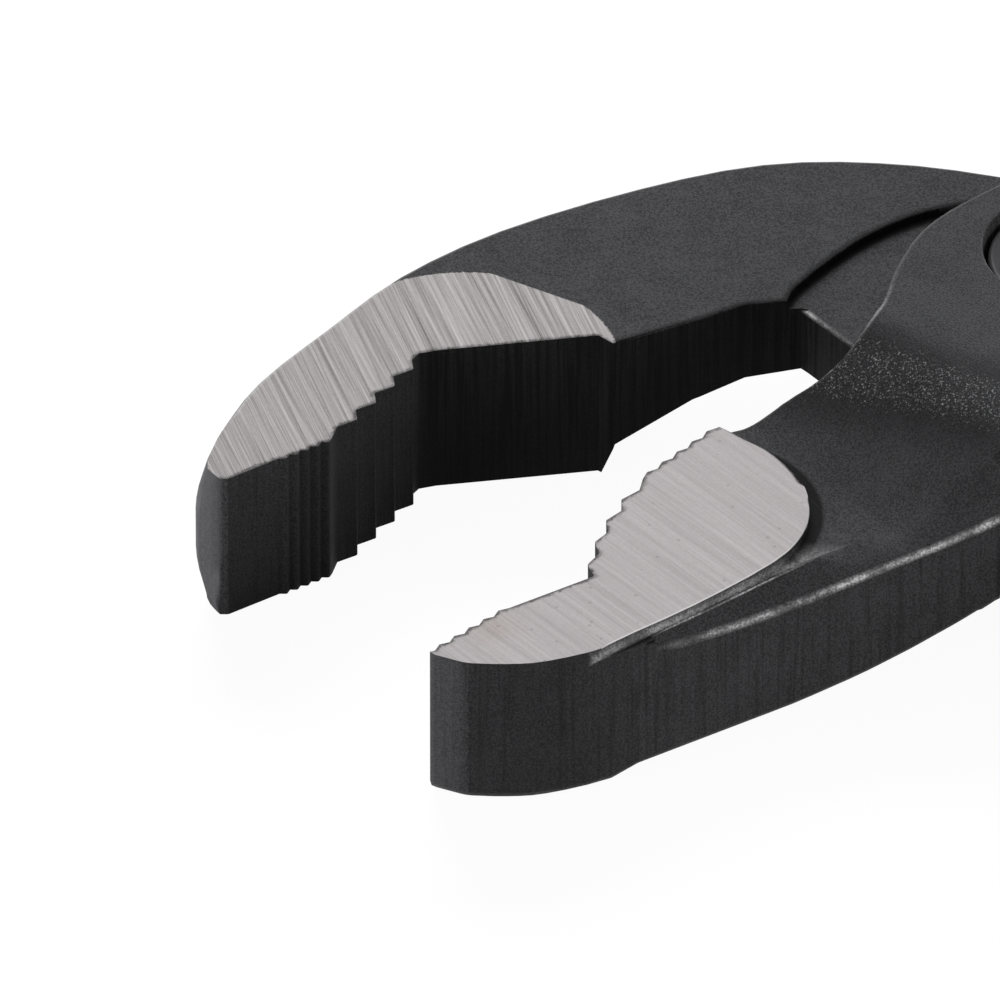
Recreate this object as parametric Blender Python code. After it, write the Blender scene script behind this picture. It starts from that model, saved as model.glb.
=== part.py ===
"""Water pump pliers: two crossed forged levers, a slotted lap joint, a keyed bolt and slip-on grips.

The origin lies on the pivot axis, in the plane of the jaws' undersides. +X runs towards the
handles and +Z is up. Lengths below are millimetres and angles are degrees.
"""

import math

import bmesh
import bpy
from mathutils import Matrix, Vector

MM = 0.001
ASSEMBLY = "water_pump_pliers"

# Heights above the jaws' undersides, and the jaws' greatest width
JAW_THICKNESS = 10.0
LAP_UNDERSIDE = 5.0
LAP_THICKNESS = 4.4
HUB_THICKNESS = 4.6
CLEARANCE = 0.3
BOSS_RISE = 0.7
JAW_WIDTH = 14.0
HANDLE_THICKNESS = 6.4
NECK_STEP = 2.5
NECK_MIDDLE = 4.2
JAW_SWELL = 0.8
SWELL_LEVELS = (2.2, 7.6)
SWELL_FACING = 150.0

# Lower lever: runs across the slot's line over which it climbs on to the lap
RISE_START = -22.6
RISE_END = -13.0
UNDER_RUNS = (-30.0, -25.0, -21.0, -17.0, -13.0, -10.5)
UNDER_SHARES = (0.0, 0.12, 0.2, 0.45, 0.82, 1.0)
RISE_STEPS = 6

# Runs along each handle over which it drops to its own level
UPPER_DROP = (33.0, 45.0)
LOWER_DROP = (32.0, 46.0)

# Run along X over which the upper jaw's underside steps up to the neck and the lap
NECK_RISE = (-28.2, -27.4, -22.8, -16.0)

# Slotted joint: the bolt steps along the slot, away from the jaws
SLOT_ANGLE = -51.0
SLOT_STEPS = 5
SLOT_PITCH = 4.6
JOURNAL_RADIUS = 3.7
FLATS_WIDTH = 6.0
LAP_EDGE = 12.5
LAP_BACK = 11.0
LAP_CORNER = -10.6
LAP_TAIL = 6.0
CLOSING_ANGLE = 22.0
OPENING_ANGLE = 15.0

# Pivot bolt, washer and nut
NECK_WIDTH = 7.4
HEAD_RADIUS = 5.4
HEAD_HEIGHT = 1.5
COUNTERBORE_DEPTH = 2.5
THREAD_RADIUS = 3.0
WASHER_RADIUS = 8.0
WASHER_THICKNESS = 1.1
NUT_FLATS = 10.0
NUT_HEIGHT = 2.9

# Teeth
FINE_DEPTH = 0.25
UPPER_SAW_DEPTH = 0.6
LOWER_SAW_DEPTH = 0.5
SAW_COUNT = 4
NOSE_FINE_COUNT = 5
ROOT_FINE_COUNT = 5

# Upper jaw in plan: nose, teeth, pocket, back, and the step down to the lap
UPPER_NOSE = ((-51.4, -16.2), (-50.7, -17.2), (-50.2, -17.2))
UPPER_FINE_TEETH = ((-47.2, -15.2), (-44.1, -13.2))
UPPER_SAW_TEETH = ((-43.8, -12.1), (-39.4, -5.5))
UPPER_POCKET = ((-39.0, -4.9), (-38.0, -4.6), (-28.4, -3.1), (-27.5, -3.9), (-22.4, -1.5), (-19.7, 0.0))
UPPER_BACK = ((5.0, 9.4), (-4.5, 12.8), (-11.7, 14.2), (-18.6, 14.0), (-25.9, 11.6), (-34.2, 7.4),
              (-40.1, 2.8), (-44.4, -2.4), (-48.3, -7.5), (-50.4, -12.0), (-51.4, -15.2))
SHOULDER = ((-17.6, -6.0), (-17.2, 0.2), (-16.3, 2.3), (-13.1, 6.2), (-9.9, 8.7), (-7.1, 9.9),
            (-3.0, 11.0), (3.0, 16.0))

# Lower jaw in plan: nose, outer side, hub, teeth, and the edge of its raised ground face
LOWER_NOSE = ((-38.3, -34.0), (-38.0, -34.3))
LOWER_OUTER = ((-36.2, -35.1), (-33.8, -35.2), (-31.4, -34.9), (-27.6, -33.4), (-22.4, -30.2), (-15.8, -26.2),
               (-8.8, -22.9), (0.0, -19.8), (10.0, -14.6), (20.0, -6.5))
LOWER_HUB = ((14.0, 10.4), (4.0, 9.8), (-2.0, 8.0), (-6.5, 4.8), (-9.3, 1.7), (-10.9, -2.2),
             (-11.7, -5.5), (-13.4, -8.3), (-15.3, -9.4), (-17.6, -9.9), (-20.0, -11.2), (-21.2, -12.0))
LOWER_ROOT_TEETH = ((-21.4, -12.2), (-25.8, -17.2))
LOWER_SAW_TEETH = ((-26.0, -18.3), (-28.7, -26.7))
LOWER_NOSE_TEETH = ((-33.7, -29.8), (-38.0, -33.9))
LOWER_SAW_BULGE = 0.5
BOSS_EDGE = ((-30.5, -36.0), (-27.8, -33.2), (-22.8, -29.4), (-18.1, -25.2), (-16.4, -22.5),
             (-16.0, -20.0), (-16.5, -17.3), (-17.9, -14.8), (-19.6, -13.2), (-22.4, -11.4))

# Lower jaw's outer top edge: place along X, level of the edge, and width of the slope above it
OUTER_SLOPE = ((-26.4, 8.9, 0.4), (-25.0, 8.4, 0.5), (-22.4, 8.0, 0.7), (-18.2, 7.5, 1.3), (-13.5, 7.9, 2.2),
               (-8.8, 9.2, 2.5), (-4.6, 10.7, 2.5), (0.0, 12.0, 2.2), (10.0, 13.0, 1.5), (18.0, 13.8, 0.5))

# Handles: gentle arcs that bow outwards
HANDLE_LENGTH = 165.0
HANDLE_WIDTH = 12.0
HANDLE_TIP_WIDTH = 9.0
HANDLE_STEPS = 12
UPPER_HANDLE_START = (22.0, -25.0)
UPPER_HANDLE_ANGLE = -28.0
UPPER_HANDLE_TURN = 20.0
LOWER_HANDLE_START = (20.0, 3.5)
LOWER_HANDLE_ANGLE = 30.0
LOWER_HANDLE_TURN = -18.0

# Two-part grips
GRIP_START = 42.0
GRIP_THICKNESS = 12.4
GRIP_WALL = 4.0
GRIP_ROUNDING = 3.0
GRIP_END_WALL = 4.0
GUARD_HEIGHT = 4.0
GUARD_LENGTH = 14.0
PAD_DEPTH = 2.6
PAD_START = 62.0
PAD_END_MARGIN = 14.0
PAD_THICKNESS = 8.6
PAD_ROUNDING = 0.8

# Levels worked out from the heights above
LAP_FLOOR = LAP_UNDERSIDE + LAP_THICKNESS
HUB_UNDERSIDE = LAP_FLOOR + CLEARANCE
HUB_TOP = HUB_UNDERSIDE + HUB_THICKNESS
SHELF = JAW_THICKNESS - BOSS_RISE
COUNTERBORE_FLOOR = HUB_TOP - COUNTERBORE_DEPTH
HANDLE_UNDERSIDE = LAP_FLOOR - HANDLE_THICKNESS
HANDLE_MIDDLE = LAP_FLOOR - HANDLE_THICKNESS / 2
SLOT_TRAVEL = SLOT_STEPS * SLOT_PITCH
PAST = 2.0
FAR = 300.0


def direction(angle):
    """Unit vector at an angle in plan."""
    return Vector((math.cos(math.radians(angle)), math.sin(math.radians(angle))))


def smooth_step(t):
    """Ease from 0 to 1."""
    t = min(max(t, 0.0), 1.0)
    return t * t * (3.0 - 2.0 * t)


def smooth_line(points, steps=4):
    """Catmull-Rom curve through hand-placed points."""
    knots = [Vector(p) for p in points]
    ends = [2 * knots[0] - knots[1]] + knots + [2 * knots[-1] - knots[-2]]
    line = []
    for a, b, c, d in zip(ends, ends[1:], ends[2:], ends[3:]):
        for i in range(steps):
            t = i / steps
            line.append(0.5 * (2 * b + (c - a) * t + (2 * a - 5 * b + 4 * c - d) * t ** 2
                               + (3 * b - a - 3 * c + d) * t ** 3))
    line.append(knots[-1])
    return line


def saw_run(start, end, count, depth, lean=0.63, bulge=0.0):
    """Teeth between two points: each crest leans along the run and stands out to its right."""
    start = Vector(start)
    end = Vector(end)
    side = (end - start).normalized()
    side = Vector((side.y, -side.x))
    points = []
    for i in range(count):
        for share, rise in ((0.0, 0.0), (lean, depth)):
            t = (i + share) / count
            points.append(start.lerp(end, t) + side * (rise + bulge * 4 * t * (1 - t)))
    points.append(end)
    return points


def handle_half_width(run):
    """Half the steel handle's width at a distance along it."""
    return (HANDLE_WIDTH + (HANDLE_TIP_WIDTH - HANDLE_WIDTH) * run / HANDLE_LENGTH) / 2


def new_object(name, mesh, collection):
    """Object for a mesh, linked to its collection."""
    item = bpy.data.objects.new(name, mesh)
    collection.objects.link(item)
    return item


def outline_solid(name, outline, low, high, collection, rounding=0.0):
    """Prism of a closed plan outline, from a filled 2D curve, with its long edges rounded."""
    curve = bpy.data.curves.new(name, "CURVE")
    curve.dimensions = "2D"
    curve.fill_mode = "BOTH"
    curve.extrude = (high - low) / 2 * MM - rounding * MM
    curve.bevel_depth = rounding * MM
    curve.bevel_resolution = 1
    curve.offset = -rounding * MM
    spline = curve.splines.new("POLY")
    spline.points.add(len(outline) - 1)
    for knot, point in zip(spline.points, outline):
        knot.co = (point[0] * MM, point[1] * MM, 0.0, 1.0)
    spline.use_cyclic_u = True
    shape = new_object(name + "_outline", curve, collection)
    shape.location.z = (low + high) / 2 * MM
    bpy.context.view_layer.update()
    evaluated = shape.evaluated_get(bpy.context.evaluated_depsgraph_get())
    mesh = bpy.data.meshes.new_from_object(evaluated)
    mesh.transform(shape.matrix_world)
    bpy.data.objects.remove(shape)
    work = bmesh.new()
    work.from_mesh(mesh)
    bmesh.ops.remove_doubles(work, verts=work.verts, dist=0.000005)
    bmesh.ops.recalc_face_normals(work, faces=work.faces)
    work.to_mesh(mesh)
    work.free()
    return new_object(name, mesh, collection)


def round_solid(name, radius, low, high, collection, segments=32, at=(0.0, 0.0), turn=0.0):
    """Upright cylinder, or a prism when it has few segments."""
    work = bmesh.new()
    bmesh.ops.create_cone(work, cap_ends=True, segments=segments, radius1=radius * MM,
                          radius2=radius * MM, depth=(high - low) * MM)
    bmesh.ops.rotate(work, verts=work.verts, matrix=plan_turn(turn))
    bmesh.ops.translate(work, verts=work.verts, vec=(at[0] * MM, at[1] * MM, (low + high) / 2 * MM))
    mesh = bpy.data.meshes.new(name)
    work.to_mesh(mesh)
    work.free()
    return new_object(name, mesh, collection)


def plan_turn(angle):
    """Rotation about Z."""
    return Matrix.Rotation(math.radians(angle), 3, "Z")


def combine(target, tool, operation):
    """Apply one EXACT boolean to a mesh object."""
    step = target.modifiers.new(operation.lower(), "BOOLEAN")
    step.operation = operation
    step.solver = "EXACT"
    step.object = tool
    bpy.context.view_layer.update()
    evaluated = target.evaluated_get(bpy.context.evaluated_depsgraph_get())
    mesh = bpy.data.meshes.new_from_object(evaluated)
    target.modifiers.remove(step)
    target.data = mesh


def cut(target, tool):
    """Take a cutter's shape out of a piece."""
    tool.hide_render = True
    tool.display_type = "WIRE"
    combine(target, tool, "DIFFERENCE")


def shape_levels(item, stations, top_level, low_level):
    """Split a prism across the stations and move its two faces to their levels."""
    work = bmesh.new()
    work.from_mesh(item.data)
    middle = sum(v.co.z for v in work.verts) / len(work.verts)
    for across, run in stations:
        everything = work.verts[:] + work.edges[:] + work.faces[:]
        bmesh.ops.bisect_plane(work, geom=everything, dist=0.0000005,
                               plane_co=(across.x * run * MM, across.y * run * MM, 0.0),
                               plane_no=(across.x, across.y, 0.0))
    for vert in work.verts:
        place = Vector((vert.co.x / MM, vert.co.y / MM))
        vert.co.z = (top_level(place) if vert.co.z > middle else low_level(place)) * MM
    work.to_mesh(item.data)
    work.free()


def finish(item, material):
    """Give a piece its material and smooth its round faces."""
    item.data.materials.clear()
    item.data.materials.append(material)
    item.data.shade_smooth()
    item.data.set_sharp_from_angle(angle=math.radians(30))


def surface(name, colour, roughness, metallic):
    """Plain Principled material."""
    material = bpy.data.materials.new(name)
    material.use_nodes = True
    shader = material.node_tree.nodes["Principled BSDF"]
    shader.inputs["Base Color"].default_value = (*colour, 1.0)
    shader.inputs["Roughness"].default_value = roughness
    shader.inputs["Metallic"].default_value = metallic
    return material


def handle_edge(start, angle, turn, side, widths):
    """Points beside a handle's centre line; each width is (distance along, offset)."""
    radius = HANDLE_LENGTH / math.radians(turn)
    centre = Vector(start) + radius * direction(angle + 90)
    points = []
    for run, offset in widths:
        outward = direction(angle + turn * run / HANDLE_LENGTH + 90)
        points.append(centre - radius * outward + side * offset * outward)
    return points


def even_runs(first, last, count=HANDLE_STEPS):
    """Evenly spaced distances from first to last."""
    return [first + (last - first) * i / count for i in range(count + 1)]


def steel_widths(first, gap=0.0):
    """Widths of the steel handle from a distance along it to its end, with a gap all round."""
    last = HANDLE_LENGTH + gap
    return [(run, handle_half_width(run) + gap) for run in even_runs(first, last)]


def stepped(run, runs, levels):
    """Level at a run, along straight stretches between the given runs."""
    for start, end, low, high in zip(runs, runs[1:], levels, levels[1:]):
        if run < end:
            return low + (high - low) * max((run - start) / (end - start), 0.0)
    return levels[-1]


def climb(level_a, level_b, run, start, end):
    """Level that eases from one height to another over a run, in straight facets."""
    share = (run - start) / (end - start) * RISE_STEPS
    whole = min(max(math.floor(share), 0), RISE_STEPS - 1)
    low = smooth_step(whole / RISE_STEPS)
    high = smooth_step((whole + 1) / RISE_STEPS)
    part = min(max(share - whole, 0.0), 1.0)
    return level_a + (level_b - level_a) * (low + (high - low) * part)


def climb_stations(across, start, end):
    """Planes at the ends of each facet of a climb."""
    return [(across, run) for run in even_runs(start, end, RISE_STEPS)]


def upper_outline():
    """Plan of the upper jaw, the slotted lap and its handle, anticlockwise from the nose."""
    along = direction(SLOT_ANGLE)
    edge = direction(SLOT_ANGLE - 90) * LAP_EDGE
    back = direction(SLOT_ANGLE + 90) * LAP_BACK
    handle = (UPPER_HANDLE_START, UPPER_HANDLE_ANGLE, UPPER_HANDLE_TURN)
    below = handle_edge(*handle, -1, steel_widths(HANDLE_WIDTH))
    above = handle_edge(*handle, 1, steel_widths(HANDLE_WIDTH))
    points = [Vector(point) for point in UPPER_NOSE]
    points += saw_run(*UPPER_FINE_TEETH, NOSE_FINE_COUNT, FINE_DEPTH, lean=0.5)
    points += saw_run(*UPPER_SAW_TEETH, SAW_COUNT, UPPER_SAW_DEPTH)
    points += [Vector(point) for point in UPPER_POCKET]
    points += [edge + along * LAP_CORNER]
    tail = SLOT_TRAVEL + LAP_TAIL
    points += smooth_line([edge + along * (tail - 2 * LAP_TAIL), edge + along * tail, below[0]])
    points += below[1:] + above[:0:-1]
    points += smooth_line([above[0], back + along * (tail - LAP_TAIL / 2),
                           back + along * (tail - 2 * LAP_TAIL)])
    points += smooth_line([back + along * LAP_TAIL / 2, *UPPER_BACK], steps=3)
    return points


def lower_outer_line():
    """Lower jaw's outer side in plan, from the nose to the handle."""
    handle = (LOWER_HANDLE_START, LOWER_HANDLE_ANGLE, LOWER_HANDLE_TURN)
    return smooth_line([*LOWER_OUTER, *handle_edge(*handle, -1, steel_widths(HANDLE_WIDTH)[:1])], steps=3)


def lower_outline():
    """Plan of the lower jaw, the hub and its handle, anticlockwise from the nose."""
    handle = (LOWER_HANDLE_START, LOWER_HANDLE_ANGLE, LOWER_HANDLE_TURN)
    below = handle_edge(*handle, -1, steel_widths(HANDLE_WIDTH))
    above = handle_edge(*handle, 1, steel_widths(HANDLE_WIDTH))
    points = [Vector(point) for point in LOWER_NOSE]
    points += lower_outer_line()
    points += below[1:] + above[:0:-1]
    points += smooth_line([above[0], *LOWER_HUB], steps=3)
    points += saw_run(*LOWER_ROOT_TEETH, ROOT_FINE_COUNT, FINE_DEPTH, lean=0.5)
    points += saw_run(*LOWER_SAW_TEETH, SAW_COUNT, LOWER_SAW_DEPTH, lean=0.55, bulge=LOWER_SAW_BULGE)
    points += saw_run(*LOWER_NOSE_TEETH, ROOT_FINE_COUNT, FINE_DEPTH, lean=0.5)
    return points


def swell_nose(item):
    """Push the middle of the upper jaw's nose and outer side outwards, as the forging dies leave it."""
    facing = direction(SWELL_FACING)
    work = bmesh.new()
    work.from_mesh(item.data)
    for level in SWELL_LEVELS:
        faces = [f for f in work.faces if f.calc_center_median().x < NECK_RISE[0] * MM]
        edges = list({e for f in faces for e in f.edges})
        verts = list({v for f in faces for v in f.verts})
        bmesh.ops.bisect_plane(work, geom=verts + edges + faces, dist=0.0000005,
                               plane_co=(0.0, 0.0, level * MM), plane_no=(0.0, 0.0, 1.0))
    work.normal_update()
    moves = []
    for vert in work.verts:
        level = vert.co.z / MM
        if CLEARANCE < level < JAW_THICKNESS - CLEARANCE and vert.co.x / MM < NECK_RISE[0]:
            outward = Vector(vert.normal[:2]).normalized()
            share = smooth_step((NECK_RISE[0] - vert.co.x / MM) / (NECK_RISE[0] - UPPER_NOSE[0][0]))
            moves.append((vert, outward * max(outward.dot(facing), 0.0) * share * JAW_SWELL * MM))
    for vert, move in moves:
        vert.co.x += move.x
        vert.co.y += move.y
    work.to_mesh(item.data)
    work.free()


def make_upper_lever(parts, cutters, material):
    """Upper jaw, thin slotted lap and the handle that crosses to the lower side."""
    lever = outline_solid("upper_jaw_lever", upper_outline(), 0.0, JAW_THICKNESS, parts)
    ahead = Vector((1.0, 0.0))
    down = direction(UPPER_HANDLE_ANGLE)
    neck_levels = (0.0, NECK_STEP, NECK_MIDDLE, LAP_UNDERSIDE)

    def low_level(place):
        run = place.dot(down)
        if run > UPPER_DROP[0]:
            return climb(LAP_UNDERSIDE, HANDLE_UNDERSIDE, run, *UPPER_DROP)
        return stepped(place.x, NECK_RISE, neck_levels)

    stations = [(ahead, run) for run in NECK_RISE] + climb_stations(down, *UPPER_DROP)
    shape_levels(lever, stations, lambda place: JAW_THICKNESS, low_level)
    swell_nose(lever)
    lap = smooth_line(SHOULDER, steps=3) + [Vector((FAR, SHOULDER[-1][1])), Vector((FAR, -FAR)),
                                            Vector((SHOULDER[0][0], -FAR))]
    cut(lever, outline_solid("lap_cutter", lap, LAP_FLOOR, JAW_THICKNESS + PAST, cutters))
    for step in range(SLOT_STEPS + 1):
        seat = direction(SLOT_ANGLE) * SLOT_PITCH * step
        cut(lever, round_solid("seat_cutter_%d" % step, JOURNAL_RADIUS + CLEARANCE, LAP_UNDERSIDE - PAST,
                               LAP_FLOOR + PAST, cutters, at=seat))
    finish(lever, material)
    return lever


def slope_wedge(top_level, collection):
    """Long wedge above the slope of the lower jaw's outer top edge."""
    runs, levels, widths = zip(*OUTER_SLOPE)
    line = lower_outer_line()
    work = bmesh.new()
    sections = []
    for before, after in zip(line, line[1:]):
        point = (before + after) / 2
        if runs[0] <= point.x <= runs[-1]:
            along = (after - before).normalized()
            outward = Vector((along.y, -along.x))
            width = stepped(point.x, runs, widths)
            edge = stepped(point.x, runs, levels)
            inner = point - outward * width
            rise = top_level(inner) + CLEARANCE / 6
            far = point + outward * PAST
            fall = edge - (rise - edge) * PAST / width
            corners = ((far, fall), (inner, rise), (inner, HUB_TOP + PAST), (far, HUB_TOP + PAST))
            sections.append([work.verts.new((p.x * MM, p.y * MM, z * MM)) for p, z in corners])
    for first, second in zip(sections, sections[1:]):
        for i in range(4):
            work.faces.new((first[i], first[i - 1], second[i - 1], second[i]))
    work.faces.new(sections[0])
    work.faces.new(sections[-1][::-1])
    bmesh.ops.recalc_face_normals(work, faces=work.faces)
    bmesh.ops.triangulate(work, faces=work.faces)
    mesh = bpy.data.meshes.new("slope_cutter")
    work.to_mesh(mesh)
    work.free()
    return new_object("slope_cutter", mesh, collection)


def make_lower_lever(parts, cutters, material):
    """Lower jaw with its ground boss, the hub over the lap and the handle that crosses upwards."""
    lever = outline_solid("lower_jaw_lever", lower_outline(), 0.0, HUB_TOP, parts)
    up = direction(SLOT_ANGLE + 90)
    out = direction(LOWER_HANDLE_ANGLE)
    boss_end = RISE_START - CLEARANCE / 2

    def top_level(place):
        if place.dot(out) > LOWER_DROP[0]:
            return climb(HUB_TOP, LAP_FLOOR, place.dot(out), *LOWER_DROP)
        if place.dot(up) < RISE_START:
            share = min(max((place.dot(up) - boss_end) / (RISE_START - boss_end), 0.0), 1.0)
            return JAW_THICKNESS - BOSS_RISE * share
        return beside_boss(place)

    def beside_boss(place):
        return climb(SHELF, HUB_TOP, place.dot(up), RISE_START, RISE_END)

    def low_level(place):
        if place.dot(out) > LOWER_DROP[0]:
            return climb(HUB_UNDERSIDE, HANDLE_UNDERSIDE, place.dot(out), *LOWER_DROP)
        return HUB_UNDERSIDE * stepped(place.dot(up), UNDER_RUNS, UNDER_SHARES)

    stations = [(up, boss_end)] + climb_stations(up, RISE_START, RISE_END)
    stations += [(up, run) for run in UNDER_RUNS] + climb_stations(out, *LOWER_DROP)
    shape_levels(lever, stations, top_level, low_level)
    aside = direction(SLOT_ANGLE)
    shelf_end = up * (RISE_START + CLEARANCE / 6)
    shelf = smooth_line(BOSS_EDGE, steps=3)
    shelf += [shelf_end - aside * JAW_WIDTH, shelf_end + aside * 2 * JAW_WIDTH, Vector((0.0, -3 * JAW_WIDTH))]
    cut(lever, outline_solid("shelf_cutter", shelf, SHELF, JAW_THICKNESS + PAST, cutters))
    cut(lever, slope_wedge(beside_boss, cutters))
    cut(lever, outline_solid("swing_cutter", swing_outline(), -PAST, HUB_UNDERSIDE, cutters))
    hole = (NECK_WIDTH / 2 + CLEARANCE) * math.sqrt(2.0)
    cut(lever, round_solid("neck_cutter", hole, HUB_UNDERSIDE - PAST, HUB_TOP + PAST, cutters, 4,
                           turn=SLOT_ANGLE + 45))
    recess = HEAD_RADIUS + CLEARANCE
    cut(lever, round_solid("head_cutter", recess, COUNTERBORE_FLOOR, HUB_TOP + PAST, cutters, 40))
    finish(lever, material)
    return lever


def swing_outline():
    """Plan of what the lap's edge sweeps under the lower lever as the jaws close and open."""
    facing = SLOT_ANGLE - 90
    reach = LAP_EDGE + CLEARANCE * 2
    spread = (CLOSING_ANGLE + OPENING_ANGLE) / 2
    middle = facing + (CLOSING_ANGLE - OPENING_ANGLE) / 2
    apex = direction(middle) * reach / math.cos(math.radians(spread))
    up = direction(SLOT_ANGLE + 90) * (UNDER_RUNS[-1] - CLEARANCE)
    aside = direction(SLOT_ANGLE)
    far = 3 * JAW_WIDTH
    return [apex, apex + direction(facing - OPENING_ANGLE + 90) * far, up + aside * far, up - aside * far,
            apex + direction(facing + CLOSING_ANGLE - 90) * far]


def make_bolt(parts, cutters, material):
    """Round head, square neck, flatted journal and plain threaded end, joined into one solid."""
    head_low = COUNTERBORE_FLOOR + CLEARANCE
    bolt = round_solid("pivot_bolt", HEAD_RADIUS, head_low, head_low + HEAD_HEIGHT, parts, 40)
    half = FLATS_WIDTH / 2
    turn = plan_turn(SLOT_ANGLE).to_2x2()
    journal = []
    for angle in range(0, 360, 10):
        point = direction(angle) * JOURNAL_RADIUS
        journal.append(turn @ Vector((point.x, min(max(point.y, -half), half))))
    sink = CLEARANCE / 2
    stages = [
        round_solid("bolt_neck", NECK_WIDTH / 2 * math.sqrt(2.0), HUB_UNDERSIDE, head_low + sink, cutters, 4,
                    turn=SLOT_ANGLE + 45),
        outline_solid("bolt_journal", journal, LAP_UNDERSIDE, HUB_UNDERSIDE + sink, cutters),
        round_solid("bolt_thread", THREAD_RADIUS - sink, 0.0, LAP_UNDERSIDE + sink, cutters, 24),
    ]
    for stage in stages:
        combine(bolt, stage, "UNION")
        bpy.data.objects.remove(stage)
    finish(bolt, material)
    return bolt


def make_ring(name, radius, segments, high, height, turn, parts, cutters, material):
    """Washer or nut: a prism with the thread's clearance hole."""
    ring = round_solid(name, radius, high - height, high, parts, segments, turn=turn)
    hole = THREAD_RADIUS + CLEARANCE
    cut(ring, round_solid(name + "_hole", hole, high - height - PAST, high + PAST, cutters, 24))
    finish(ring, material)
    return ring


def grip_widths(palm):
    """Widths of a grip's side: a guard at the front and, on the palm side, the pad's recess."""
    widths = []
    pad_end = HANDLE_LENGTH - PAD_END_MARGIN
    runs = even_runs(GRIP_START, GRIP_START + GUARD_LENGTH, 6)
    runs += [PAD_START, PAD_START] + even_runs(PAD_START, pad_end)[1:-1] + [pad_end, pad_end, HANDLE_LENGTH]
    inside = False
    last = None
    for run in runs:
        if run == last:
            inside = not inside
        guard = math.sin(math.pi * min((run - GRIP_START) / GUARD_LENGTH, 1.0)) * GUARD_HEIGHT
        recess = PAD_DEPTH if palm and inside else 0.0
        widths.append((run, handle_half_width(run) + GRIP_WALL + guard - recess))
        last = run
    return widths


def make_grip(name, handle, palm_side, parts, cutters, materials):
    """Hard sleeve over one handle with a soft pad let into its palm side."""
    right = handle_edge(*handle, -1, grip_widths(palm_side < 0))
    left = handle_edge(*handle, 1, grip_widths(palm_side > 0))
    end_width = handle_half_width(HANDLE_LENGTH) + GRIP_WALL
    end_turn = handle[1] + handle[2]
    end_centre = handle_edge(*handle, 1, [(HANDLE_LENGTH, 0.0)])[0]
    cap = []
    for angle in range(-75, 90, 15):
        lengthways = math.cos(math.radians(angle)) * (GRIP_WALL + GRIP_END_WALL)
        sideways = math.sin(math.radians(angle)) * end_width
        cap.append(end_centre + direction(end_turn) * lengthways + direction(end_turn + 90) * sideways)
    low = HANDLE_MIDDLE - GRIP_THICKNESS / 2
    sleeve = outline_solid(name, right + cap + left[::-1], low, low + GRIP_THICKNESS, parts, GRIP_ROUNDING)
    bore = steel_widths(GRIP_START - PAST, CLEARANCE)
    bore_outline = handle_edge(*handle, -1, bore) + handle_edge(*handle, 1, bore)[::-1]
    cut(sleeve, outline_solid(name + "_bore", bore_outline, HANDLE_UNDERSIDE - CLEARANCE,
                              LAP_FLOOR + CLEARANCE, cutters))
    finish(sleeve, materials["core"])
    runs = even_runs(PAD_START + CLEARANCE, HANDLE_LENGTH - PAD_END_MARGIN - CLEARANCE)
    floor = GRIP_WALL - PAD_DEPTH + CLEARANCE
    inner = handle_edge(*handle, palm_side, [(run, handle_half_width(run) + floor) for run in runs])
    outer = handle_edge(*handle, palm_side, [(run, handle_half_width(run) + GRIP_WALL) for run in runs])
    pad_low = HANDLE_MIDDLE - PAD_THICKNESS / 2
    pad_high = pad_low + PAD_THICKNESS
    pad = outline_solid(name + "_pad", inner + outer[::-1], pad_low, pad_high, parts, PAD_ROUNDING)
    finish(pad, materials["pad"])
    return [sleeve, pad]


def build():
    """Clear the scene and make every piece."""
    for item in list(bpy.data.objects):
        bpy.data.objects.remove(item)
    parts = bpy.data.collections.new(ASSEMBLY)
    cutters = bpy.data.collections.new(ASSEMBLY + "_cutters")
    for collection in (parts, cutters):
        bpy.context.scene.collection.children.link(collection)
    forged = surface("black_phosphated_steel", (0.045, 0.045, 0.048), 0.55, 0.5)
    hardware = surface("dark_bolt_steel", (0.12, 0.12, 0.125), 0.4, 0.9)
    grips = {
        "core": surface("black_hard_plastic", (0.02, 0.02, 0.022), 0.45, 0.0),
        "pad": surface("grey_soft_plastic", (0.09, 0.09, 0.095), 0.75, 0.0),
    }
    make_upper_lever(parts, cutters, forged)
    upper_handle = (UPPER_HANDLE_START, UPPER_HANDLE_ANGLE, UPPER_HANDLE_TURN)
    make_grip("upper_lever_grip", upper_handle, -1, parts, cutters, grips)
    washer_high = LAP_UNDERSIDE - CLEARANCE
    washer = make_ring("joint_washer", WASHER_RADIUS, 40, washer_high, WASHER_THICKNESS, 0.0,
                       parts, cutters, hardware)
    nut_high = washer_high - WASHER_THICKNESS - CLEARANCE
    nut_radius = NUT_FLATS / math.sqrt(3.0)
    nut = make_ring("pivot_nut", nut_radius, 6, nut_high, NUT_HEIGHT, SLOT_ANGLE, parts, cutters, hardware)
    bolt = make_bolt(parts, cutters, hardware)
    lower = make_lower_lever(parts, cutters, forged)
    lower_handle = (LOWER_HANDLE_START, LOWER_HANDLE_ANGLE, LOWER_HANDLE_TURN)
    lower_grip = make_grip("lower_lever_grip", lower_handle, 1, parts, cutters, grips)
    carriage = new_object("slot_carriage", None, parts)
    pivot = new_object("pivot_axis", None, parts)
    pivot.parent = carriage
    washer.parent = carriage
    for piece in [nut, bolt, lower] + lower_grip:
        piece.parent = pivot


build()
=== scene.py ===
import math

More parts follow.
